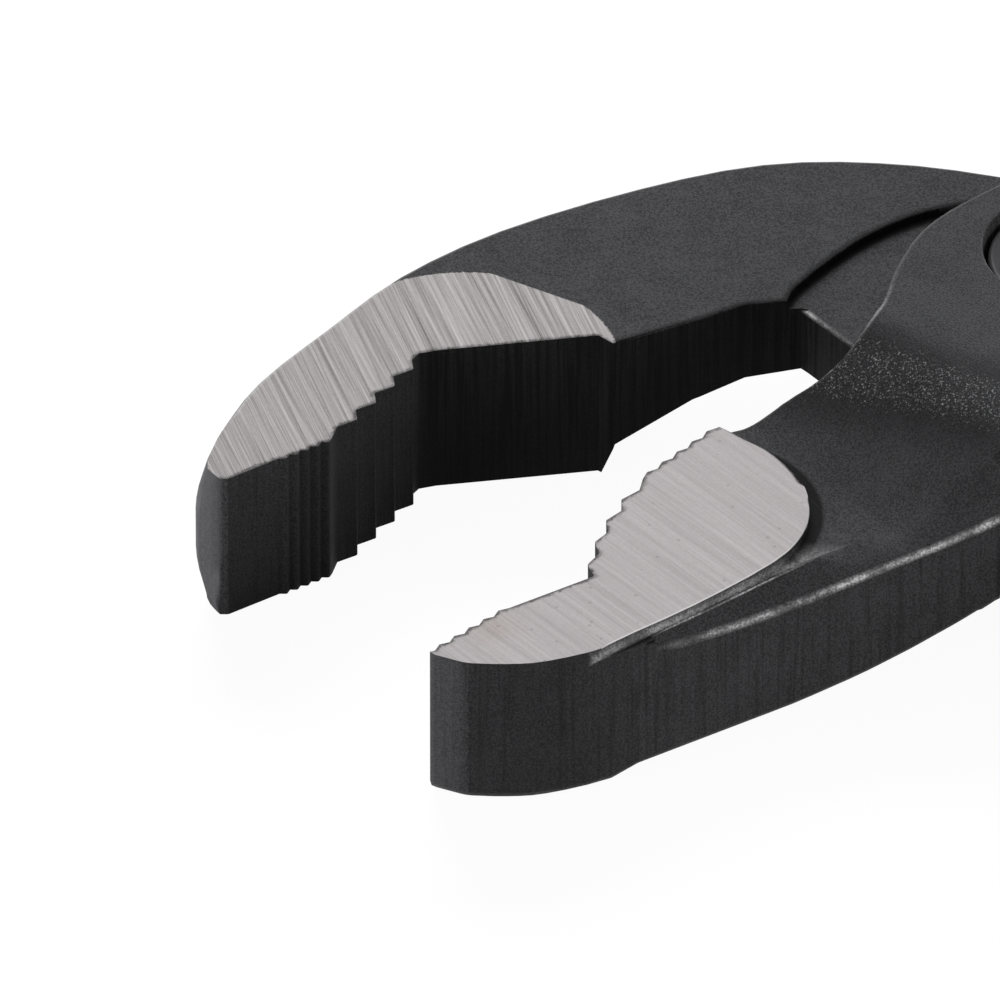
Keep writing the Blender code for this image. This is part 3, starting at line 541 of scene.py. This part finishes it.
# Upper lever: sizes and places in millimetres, angles in degrees
upperLever = {
    "node": "upper_jaw_lever", "body": "upper_lever", "slot": "forged_steel", "sharp": 40,
    "outward": (-0.5, 0.87, 0.0),  # from the teeth to the back
    "faceLevel": 9.9,
    "backEdge": 0.3, "backFrom": -50.3, "backTo": 8.0, "underEdge": 0.5,
    "neckEdge": 0.12, "neckFrom": -27.6,
    "lapEdge": 0.3, "lapLevel": 9.4, "lapFacing": (-0.77, -0.64, 0.0), "lapCuts": 60, "chipAt": -15.9,
    "handleEdge": 0.4, "handleFrom": 24.0,
    "ridge": 0.09, "teethSpan": (-50.4, -38.6), "teethLine": (-44.0, -9.0, 0.0),
    "noseSwell": 1.3, "swellLevels": (2.2, 7.6), "swellTurn": (8, 25), "swellTo": -28.0,
    "deepShadeFrom": -50.0, "oilAndShade": ((-46.0, 0.3), (-38.5, 0.55), (-8.0, 0.95)),  # the share of painted deep shade on the inner walls, up to each X
    "ground": {
        "centre": (-36.3, -6.1, 0.0), "radius": 9.25, "flatSide": (0.502, 0.865, 0.0), "flatReach": 8.65,
        "noseFrom": -41.5, "toothSide": (0.5, -0.87, 0.0), "noseLightEnd": -50.8, "noseLightShare": 0.9,
        "lineAngle": 106.0, "lineLength": 16.0, "lineWidth": 0.085, "bandWidth": 0.3, "lineSpread": 0.36,
        "lineDepth": 0.01, "mottle": 0.25, "dark": "#797575", "light": "#cac5c6", "pits": 0.1,
        "fleckMiddle": 300.0, "footCentre": (300.0, 0.0, 0.0), "footRadius": 0.0,  # far off: no slope here
        "stainAt": (0.0, 0.0, 0.0), "stain": 0.0,
    },
}


def makeUpperLever(piece):
    work = mergedCopy(piece["node"])
    ground = work.faces.layers.float["ground"]
    deepShade = work.faces.layers.float["deepShade"]
    outward = Vector(piece["outward"])
    for face in work.faces:
        middle = face.calc_center_median() / mm
        face[ground] = 1.0 if face.normal.z > 0.9 and middle.z > piece["faceLevel"] else 0.0
        shares = [share for reach, share in piece["oilAndShade"] if middle.x < reach]
        # painted deep shade on the inner walls that face the lower jaw
        if isWall(face) and face.normal.dot(outward) < -0.1 and middle.x > piece["deepShadeFrom"] and shares:
            face[deepShade] = shares[0]

    def teeth(middle):
        first, last = piece["teethSpan"]
        return first < middle.x < last and middle.dot(outward) < Vector(piece["teethLine"]).dot(outward)

    def backTop(middle, wall):
        onFace = middle.z > piece["faceLevel"] and middle.x > piece["backFrom"]
        return onFace and backUnder(middle, wall)

    def backUnder(middle, wall):
        return wall.dot(outward) > 0.15 and middle.x < piece["backTo"]

    def neckTop(middle, wall):
        return middle.z > piece["faceLevel"] and wall.dot(outward) < 0.15 and middle.x > piece["neckFrom"]

    def lapFront(middle, wall):
        level = abs(middle.z - piece["lapLevel"]) < 0.1
        return level and wall.dot(Vector(piece["lapFacing"])) > 0.8 and middle.x < 0

    def chipped(spot):  # the lap's front edge is chipped bright next to the step
        return max(0.15, 1.7 - abs(spot.x - piece["chipAt"]) / 2.0)

    def handleRim(middle, wall):
        return middle.x > piece["handleFrom"]

    def swell(edge):  # where the nose's sides start to narrow
        least, most = piece["swellTurn"]
        if not isOuter(edge) or edge.verts[0].co.x >= piece["swellTo"] * mm:
            return False
        if not math.radians(least) < edge.calc_face_angle() < math.radians(most):
            return False
        low, high = (vert.co.z / mm for vert in edge.verts)
        return any(abs(low - level) + abs(high - level) < 0.1 for level in piece["swellLevels"])

    bmesh.ops.subdivide_edges(work, edges=rims(work, 1, lapFront), cuts=piece["lapCuts"])
    roundEdges(work, [e for e in work.edges if swell(e)], piece["noseSwell"], 3)
    roundEdges(work, ridges(work, teeth), piece["ridge"], 2, 1.0)
    roundEdges(work, rims(work, 1, backTop), piece["backEdge"], 2, 0.3)
    roundEdges(work, rims(work, -1, backUnder), piece["underEdge"], 2, 0.25)
    roundEdges(work, rims(work, 1, neckTop), piece["neckEdge"], 2, 0.2)
    roundEdges(work, rims(work, 1, lapFront), piece["lapEdge"], 2, chipped)
    for upwards in (1, -1):
        roundEdges(work, rims(work, upwards, handleRim), piece["handleEdge"], 2, 0.2)
    placePiece(work, "upperLever", piece, forgedSteel("blackPhosphatedForgingUpper", piece["ground"]))


# Lower lever: sizes and places in millimetres. Its boss is the ground face, its foot the valley round it.
lowerLever = {
    "node": "lower_jaw_lever", "body": "lower_lever", "slot": "forged_steel", "sharp": 40,
    "outward": (0.45, -0.89, 0.0),  # from the teeth to the outer wall
    "faceLevel": (9.9, 10.1), "bossWall": (9.5, 9.8), "bossTo": -15.0, "bossFoot": 9.3, "bossTop": 10.0,
    "bossCurve": 0.25, "bossRim": 0.08, "bossFront": (-28.3, -15.9), "bossFrontBelow": -19.0,
    "stripEdge": 0.1, "stripSpan": (-28.6, -15.5), "stripFadeFrom": -16.4,
    "outerEdge": 0.38, "outerSpan": (-25.2, 60.0), "outerBelow": 8.0, "outerFrom": 16.0, "outerSweeps": 30,
    "valleyBelow": 9.85, "slopeTop": 13.9,
    "wallCut": 8.9, "wallCutSpan": (-30.5, -22.0), "wallCutBelow": 9.0,
    "hubEdge": 0.4, "hubFrom": -20.4, "hubRadius": 7.0, "hubTop": 14.2, "rubbedAt": -6.2,
    "holeEdge": 0.15, "holeRadius": 6.5,
    "underEdge": 0.5, "underTo": 20.0,
    "rimFrom": -26.6, "rimLift": 0.42, "rimClimb": (-18.6, -5.9), "rimRise": 0.0202, "rimBelow": 5.0,
    "ridge": 0.06, "teethTo": -21.0, "teethLine": (-30.0, -26.5, 0.0),
    "noseCorner": 0.4, "noseSpan": (-36.6, -35.8), "noseBelow": -33.8,
    "handleEdge": 0.4, "handleFrom": 34.0,
    # painted deep shade on the lower lever's walls: the shares and where they go
    "deepShadeTeeth": 0.7, "deepShadeTeethTo": -20.0, "deepShadeBoss": (0.9, 0.1), "deepShadeBossFrom": -21.5,
    "deepShadeNose": 0.35, "deepShadeNoseSpan": (-36.2, -24.0), "deepShadeNoseBelow": 9.2,
    "slopeAlong": (0.777, 0.629, 0.0), "slopeFrom": -22.6, "slopeTo": -13.0,
    "slopeLow": 9.3, "slopeHigh": 14.3, "slopeCuts": 30,
    "slopeFacets": 6,  # the solid climbs in so many facets
    "ground": {
        "centre": (-27.0, -24.0, 0.0), "radius": 60.0, "flatSide": (0.0, 0.0, 1.0), "flatReach": 60.0,
        "noseFrom": -60.0, "toothSide": (-0.6, 0.8, 0.0), "noseLightEnd": -37.0, "noseLightShare": 0.5,
        "lineAngle": -51.0, "lineLength": 12.0, "lineWidth": 0.16, "bandWidth": 0.5, "lineSpread": 0.5,
        "lineDepth": 0.003, "mottle": 0.7, "dark": "#a5a0a1", "light": "#c4bfc0", "pits": 0.3,
        "fleckMiddle": -15.6, "footCentre": (-22.9, -19.9, 0.0), "footRadius": 7.75,
        "stainAt": (-34.6, -31.6, 10.0), "stain": 0.25,
    },
}


def markLowerFaces(work, piece, outward):
    ground = work.faces.layers.float["ground"]
    deepShade = work.faces.layers.float["deepShade"]
    faceLow, faceHigh = piece["faceLevel"]
    bossLow, bossHigh = piece["bossWall"]
    noseFirst, noseLast = piece["deepShadeNoseSpan"]
    for face in work.faces:
        middle = face.calc_center_median() / mm
        onBoss = middle.x < piece["bossTo"]
        onFace = face.normal.z > 0.98 and faceLow < middle.z < faceHigh and onBoss
        face[ground] = 1.0 if onFace else 0.0
        if not isWall(face):
            continue
        # painted deep shade on the teeth walls, the boss wall and the outer wall near the nose
        outer = face.normal.dot(outward)
        if outer < -0.1 and middle.x < piece["deepShadeTeethTo"]:
            face[deepShade] = piece["deepShadeTeeth"]
        if outer > -0.1 and bossLow < middle.z < bossHigh and onBoss:
            behind, front = piece["deepShadeBoss"]
            face[deepShade] = behind if middle.x > piece["deepShadeBossFrom"] else front
        if outer > 0.1 and noseFirst < middle.x < noseLast and middle.z < piece["deepShadeNoseBelow"]:
            face[deepShade] = min(piece["deepShadeNose"], 0.05 * (noseLast - middle.x))


def cutOuterWall(work, piece, outward):  # keeps the rubbed strip's tone from running down the wall
    first, last = piece["wallCutSpan"]
    wall = []
    for face in work.faces:
        middle = face.calc_center_median() / mm
        if isWall(face) and face.normal.dot(outward) > 0.1:
            if first < middle.x < last and middle.z < piece["wallCutBelow"]:
                wall.append(face)
    edges = list({e for f in wall for e in f.edges})
    verts = list({v for f in wall for v in f.verts})
    bmesh.ops.bisect_plane(work, geom=wall + edges + verts, dist=0.01 * mm,
                           plane_co=(0.0, 0.0, piece["wallCut"] * mm), plane_no=(0.0, 0.0, 1.0))


def evenLevels(work, edges, piece):  # the outer edge's level, evened out along the wall
    chain = {v for e in edges for v in e.verts if v.co.z < piece["slopeTop"] * mm}
    chain = sorted(chain, key=lambda v: v.co.x)
    for sweep in range(piece["outerSweeps"]):
        levels = [v.co.z for v in chain]
        for i in range(1, len(chain) - 1):
            before = chain[i].co.x - chain[i - 1].co.x
            after = chain[i + 1].co.x - chain[i].co.x
            share = before / max(before + after, 1e-9)
            chain[i].co.z = 0.5 * levels[i] + 0.5 * ((1 - share) * levels[i - 1] + share * levels[i + 1])
    work.normal_update()


def smoothSlope(work, piece):  # more strips across the climb to the hub, laid on one smooth curve
    along = Vector(piece["slopeAlong"])
    start, end = piece["slopeFrom"], piece["slopeTo"]
    cuts, facets = piece["slopeCuts"], piece["slopeFacets"]

    def eased(share):
        share = min(max(share, 0.0), 1.0)
        return share * share * (3 - 2 * share)

    def level(share):
        return piece["slopeLow"] + (piece["slopeHigh"] - piece["slopeLow"]) * share

    for i in range(cuts + 1):
        cutAcross(work, along * (start + (end - start) * i / cuts), along, 0.02)
    for vert in work.verts:
        share = ((vert.co / mm).dot(along) - start) / (end - start)
        if 0.0 < share < 1.0:
            step = min(math.floor(share * facets), facets - 1)
            low, high = eased(step / facets), eased((step + 1) / facets)
            facet = level(low + (high - low) * (share * facets - step))
            if abs(vert.co.z / mm - facet) < 0.03:
                vert.co.z = level(eased(share)) * mm
    work.normal_update()


def climbRim(work, edges, piece):  # the underside's outer rim climbs to the hub on one smooth curve
    first, last = piece["rimClimb"]
    for vert in {v for e in edges for v in e.verts}:
        if first < vert.co.x / mm < last and vert.co.z / mm < piece["rimBelow"]:
            past = vert.co.x / mm - first
            vert.co.z = (piece["rimLift"] + piece["rimRise"] * past * past) * mm
    work.normal_update()


def makeLowerLever(piece):
    work = mergedCopy(piece["node"])
    outward = Vector(piece["outward"])
    wear = work.verts.layers.float["wear"]

    def bossWall(middle):
        low, high = piece["bossWall"]
        return low < middle.z < high and middle.x < piece["bossTo"]

    def bossFront(middle, wall):
        first, last = piece["bossFront"]
        inFront = first < middle.x < last and middle.y < piece["bossFrontBelow"]
        return inFront and middle.z > piece["faceLevel"][0] and wall.dot(outward) > 0.2

    def outerTop(middle, wall):
        first, last = piece["outerSpan"]
        onBoss = abs(middle.z - piece["bossTop"]) < 0.05 and middle.x < piece["bossTo"]
        atWall = middle.z < piece["valleyBelow"] or middle.dot(outward) > piece["outerFrom"]
        inSpan = first < middle.x < last and middle.y < piece["outerBelow"]
        return inSpan and atWall and not onBoss and wall.dot(outward) > 0.15

    def outerWear(spot):  # grows towards the hub
        return min(max(0.5 + (spot.x + 24.0) / 4.0, 0.45), 1.6)

    def outerUnder(middle, wall):
        return wall.dot(outward) > 0.15 and middle.x < piece["underTo"]

    def hubTop(middle, wall):
        beside = Vector(middle[:2]).length > piece["hubRadius"] and middle.x > piece["hubFrom"]
        return beside and wall.dot(outward) < 0.15

    def hubWear(spot):  # brightest beside the lap
        return max(0.12, 0.8 - abs(spot.y - piece["rubbedAt"]) / 3.0) if spot.x < -10 else 0.12

    def recess(middle, wall):
        return middle.z > piece["hubTop"] and Vector(middle[:2]).length < piece["holeRadius"]

    def nose(middle):
        first, last = piece["noseSpan"]
        return first < middle.x < last and middle.y < piece["noseBelow"]

    def teeth(middle):
        return middle.x < piece["teethTo"] and middle.dot(outward) < Vector(piece["teethLine"]).dot(outward)

    def handleRim(middle, wall):
        return middle.x > piece["handleFrom"]

    def stripEdge(edge):  # the foot's edge along the narrow strip between the ground face and the outer slope
        first, last = piece["stripSpan"]
        middle = middleOf(edge)
        if not isOuter(edge) or abs(middle.z - piece["bossFoot"]) >= 0.05 or not first < middle.x < last:
            return False
        low, high = sorted(f.normal.z for f in edge.link_faces)
        return high > 0.98 and low > 0.3

    def stripWear(spot):
        return 1.6 * min(max((piece["stripFadeFrom"] - spot.x) / 2.2, 0.0), 1.0)

    markLowerFaces(work, piece, outward)
    cutOuterWall(work, piece, outward)
    evenLevels(work, rims(work, 1, outerTop, 0.1), piece)
    smoothSlope(work, piece)
    climbRim(work, rims(work, -1, outerUnder), piece)
    roundEdges(work, ridges(work, bossWall, 4, 40), piece["bossCurve"], 2)
    for face in work.faces:  # the strip is rubbed
        if isWall(face) and bossWall(face.calc_center_median() / mm) and face.normal.dot(outward) > 0.1:
            for vert in face.verts:
                if vert.co.z < piece["faceLevel"][0] * mm:
                    vert[wear] = stripWear(vert.co / mm)
    roundEdges(work, [e for e in work.edges if stripEdge(e)], piece["stripEdge"], 2, stripWear)
    # the boss's front rim: burnished, with a painted highlight
    roundEdges(work, rims(work, 1, bossFront), piece["bossRim"], 2, 0.75, ground=1.0)
    roundEdges(work, ridges(work, nose, 12), piece["noseCorner"], 3, 0.05)
    roundEdges(work, ridges(work, teeth), piece["ridge"], 2, 0.5)
    roundEdges(work, rims(work, 1, outerTop), piece["outerEdge"], 2, outerWear)
    roundEdges(work, rims(work, 1, hubTop), piece["hubEdge"], 3, hubWear)
    roundEdges(work, rims(work, 1, recess), piece["holeEdge"], 2, 0.15)
    for vert in roundEdges(work, rims(work, -1, outerUnder), piece["underEdge"], 2, 0.2):
        if piece["rimFrom"] < vert.co.x / mm < piece["rimClimb"][0]:
            vert.co.z += piece["rimLift"] * mm  # behind the nose the rim stands clear of the bench
    for upwards in (1, -1):
        roundEdges(work, rims(work, upwards, handleRim), piece["handleEdge"], 2, 0.2)
    placePiece(work, "lowerLever", piece, forgedSteel("blackPhosphatedForgingLower", piece["ground"]))


makeUpperLever(upperLever)
makeLowerLever(lowerLever)
print("levers done")

# Pivot bolt, washer and nut, in millimetres
turned = {"slot": "bolt_steel", "sharp": 35}
pivotBolt = {"node": "pivot_bolt", "body": "lower_lever", **turned, "edge": 0.35,
             "dish": 1.6, "dishSide": 0.5, "dishDepth": 0.25,
             "headAbove": 13.2, "headBeyond": 5.0, "endBelow": 0.2}
jointWasher = {"node": "joint_washer", "body": "joint_carriage", **turned, "edge": 0.2}
pivotNut = {"node": "pivot_nut", "body": "lower_lever", **turned, "edge": 0.3}
turnedSteel = boltSteel("oiledBoltSteel")


def sinkPanel(work, faces, margin, side, depth):  # a flat margin, then a slanting side down to the panel
    for thickness, sunk in ((margin, 0.0), (side, depth)):
        bmesh.ops.inset_region(work, faces=faces, thickness=thickness * mm, depth=-sunk * mm,
                               use_even_offset=True)


def makeBolt(piece):
    work = mergedCopy(piece["node"])

    def headRim(middle, wall):
        return middle.z > piece["headAbove"] and Vector(middle[:2]).length > piece["headBeyond"]

    def endRim(middle, wall):
        return middle.z < piece["endBelow"]

    top = max(work.faces, key=lambda f: f.calc_center_median().z)
    sinkPanel(work, [top], piece["dish"], piece["dishSide"], piece["dishDepth"])
    roundEdges(work, rims(work, 1, headRim), piece["edge"], 3, 0.6)
    roundEdges(work, rims(work, -1, endRim), piece["edge"], 2, 0.5)
    placePiece(work, "pivotBolt", piece, turnedSteel)


def makeRing(name, piece):
    work = mergedCopy(piece["node"])
    for upwards in (1, -1):
        roundEdges(work, rims(work, upwards, lambda middle, wall: True), piece["edge"], 2, 0.5)
    placePiece(work, name, piece, turnedSteel)


makeBolt(pivotBolt)
makeRing("jointWasher", jointWasher)
makeRing("pivotNut", pivotNut)
print("joint hardware done")

# Grips: hard sleeve with a sunk panel on both flats, and a ribbed soft pad along the curved handle, in
# millimetres and degrees
sleeve = {"slot": "grip_core", "sharp": 50, "panelMargin": 2.4, "panelSide": 0.4, "panelDepth": 0.5}
upperGrip = {"node": "upper_lever_grip", "body": "upper_lever", **sleeve}
lowerGrip = {"node": "lower_lever_grip", "body": "lower_lever", **sleeve}
ribbed = {"slot": "grip_pad", "sharp": 30, "handleLength": 165.0, "first": 66.0, "last": 147.0, "pitch": 4.0,
          "ribHalf": 0.7, "ribDepth": 0.9, "palmBand": 0.9, "ends": ((62.0, -1), (151.0, 1)), "endGap": 0.25}
upperPad = {"node": "upper_lever_grip_pad", "body": "upper_lever", **ribbed,
            "start": (22.0, -25.0), "angle": -28.0, "turn": 20.0, "side": -1}
lowerPad = {"node": "lower_lever_grip_pad", "body": "lower_lever", **ribbed,
            "start": (20.0, 3.5), "angle": 30.0, "turn": -18.0, "side": 1}
gripCore = mouldedPlastic("blackMouldedPolypropylene", coreFinish)
gripPad = mouldedPlastic("greySoftElastomer", padFinish)


def makeGrip(name, piece):
    work = mergedCopy(piece["node"])
    for upwards in (1, -1):
        flats = [f for f in work.faces if f.normal.z * upwards > 0.98 and f.calc_area() > 20 * mm * mm]
        height = max(f.calc_center_median().z * upwards for f in flats)
        panel = [f for f in flats if f.calc_center_median().z * upwards > height - 0.1 * mm]
        sinkPanel(work, panel, piece["panelMargin"], piece["panelSide"], piece["panelDepth"])
    placePiece(work, name, piece, gripCore)


def handleSpot(piece, run):  # the place this far along the handle, its direction, and the way to the left
    radius = piece["handleLength"] / math.radians(piece["turn"])
    base = math.radians(piece["angle"] + 90)
    centre = Vector(piece["start"]) + radius * Vector((math.cos(base), math.sin(base)))
    heading = math.radians(piece["angle"] + piece["turn"] * run / piece["handleLength"])
    along = Vector((math.cos(heading), math.sin(heading), 0.0))
    left = Vector((-along.y, along.x, 0.0))
    return Vector((centre.x, centre.y, 0.0)) - radius * left, along, left


def makePad(name, piece):
    work = mergedCopy(piece["node"])
    run = piece["first"]
    while run < piece["last"]:
        for shift in (-piece["ribHalf"], piece["ribHalf"], 0.0):  # the middle cut comes last and is then sunk
            spot, along, left = handleSpot(piece, run + shift)
            cut = cutAcross(work, spot, along, 0.0001)
        outward = left * piece["side"]
        line = [v for v in cut["geom_cut"] if isinstance(v, bmesh.types.BMVert)]
        palm = max((v.co / mm - spot).dot(outward) for v in line)
        for vert in line:
            if (vert.co / mm - spot).dot(outward) > palm - piece["palmBand"]:
                vert.co -= outward * piece["ribDepth"] * mm
        run += piece["pitch"]
    for run, sign in piece["ends"]:  # the ends close the slits to the sleeve
        along = handleSpot(piece, run)[1]
        ends = [f for f in work.faces if f.normal.dot(along) * sign > 0.97]
        for vert in {v for f in ends for v in f.verts}:
            vert.co += along * sign * piece["endGap"] * mm
    work.normal_update()
    placePiece(work, name, piece, gripPad)


makeGrip("upperGrip", upperGrip)
makeGrip("lowerGrip", lowerGrip)
makePad("upperPad", upperPad)
makePad("lowerPad", lowerPad)
print("grips done")

# Floor, light and camera
studio = {
    "floor": "#b4b4b4", "floorSize": 3.0, "floorDrop": 0.05, "skyLight": 0.08, "floorWhite": 0.95,
    "floorShade": 0.09,
    "lamps": {  # place in metres, size in metres, watts
        "backSoftbox": ((0.0, 0.75, 0.42), 0.6, 11.7),
        "leftSoftbox": ((-0.68, -0.36, 0.16), 0.45, 3.0),
        "rightFill": ((0.75, -0.47, 0.18), 0.5, 3.6)},
    "lens": 1500.0, "sensor": 36.0, "elevation": 37.0, "frameWidth": 59.17, "aim": (-34.2, -6.0, 0.0),
}


def seenRays(tree):  # what the camera sees, straight or in metal and glass
    rays = addNode(tree, "ShaderNodeLightPath").outputs
    seen = rays["Is Camera Ray"]
    for other in ("Is Glossy Ray", "Is Transmission Ray"):
        seen = addNode(tree, "ShaderNodeMath", {0: seen, 1: rays[other]}, operation="MAXIMUM").outputs[0]
    return seen


def makeFloor(studio):
    work = bmesh.new()
    bmesh.ops.create_grid(work, x_segments=1, y_segments=1, size=studio["floorSize"])
    bmesh.ops.translate(work, verts=work.verts, vec=(0.0, 0.0, -studio["floorDrop"] * mm))
    mesh = bpy.data.meshes.new("floor")
    work.to_mesh(mesh)
    work.free()
    floor = bpy.data.objects.new("floor", mesh)
    bpy.context.scene.collection.objects.link(floor)
    material, tree, shader = startMaterial("paleFloor")
    shader.inputs["Base Color"].default_value = linearColour(studio["floor"])
    shader.inputs["Roughness"].default_value = 0.9
    shader.inputs["Specular IOR Level"].default_value = 0.0
    white = addNode(tree, "ShaderNodeEmission", {"Strength": studio["floorWhite"]}).outputs[0]
    shade = addNode(tree, "ShaderNodeBsdfDiffuse", {"Color": [studio["floorShade"]] * 3 + [1.0]}).outputs[0]
    shown = addNode(tree, "ShaderNodeAddShader", {0: white, 1: shade}).outputs[0]
    mixed = addNode(tree, "ShaderNodeMixShader", {
        0: seenRays(tree), 1: shader.outputs[0], 2: shown}).outputs[0]
    tree.links.new(mixed, tree.nodes["Material Output"].inputs["Surface"])
    mesh.materials.append(material)


def makeSky(studio):
    world = bpy.data.worlds.new("studio")
    bpy.context.scene.world = world
    world.use_nodes = True
    tree = world.node_tree
    strength = addNode(tree, "ShaderNodeMapRange", {
        "Value": seenRays(tree), "To Min": studio["skyLight"], "To Max": 1.0}).outputs["Result"]
    sky = tree.nodes["Background"]
    sky.inputs["Color"].default_value = (1.0, 1.0, 1.0, 1.0)
    tree.links.new(strength, sky.inputs["Strength"])


def makeLamps(studio):
    for name, (spot, size, watts) in studio["lamps"].items():
        lamp = bpy.data.lights.new(name, "AREA")
        lamp.size = size
        lamp.energy = watts
        box = bpy.data.objects.new(name, lamp)
        bpy.context.scene.collection.objects.link(box)
        box.location = spot
        box.rotation_euler = (-Vector(spot)).to_track_quat("-Z", "Y").to_euler()
        box.visible_glossy = False  # metal reflects the white surroundings, not the boxes


def makeCamera(studio):
    camera = bpy.data.cameras.new("camera")
    camera.sensor_width = studio["sensor"]
    camera.lens = studio["lens"]
    distance = studio["frameWidth"] * mm * studio["lens"] / studio["sensor"]
    camera.clip_start = 0.1 * distance
    camera.clip_end = 3.0 * distance
    eye = bpy.data.objects.new("camera", camera)
    bpy.context.scene.collection.objects.link(eye)
    rise = math.radians(studio["elevation"])
    eye.location = Vector(studio["aim"]) * mm + distance * Vector((0.0, -math.cos(rise), math.sin(rise)))
    eye.rotation_euler = (math.pi / 2 - rise, 0.0, 0.0)
    bpy.context.scene.camera = eye


makeFloor(studio)
makeSky(studio)
makeLamps(studio)
makeCamera(studio)
bpy.context.scene.view_settings.view_transform = "Standard"
print("studio done")
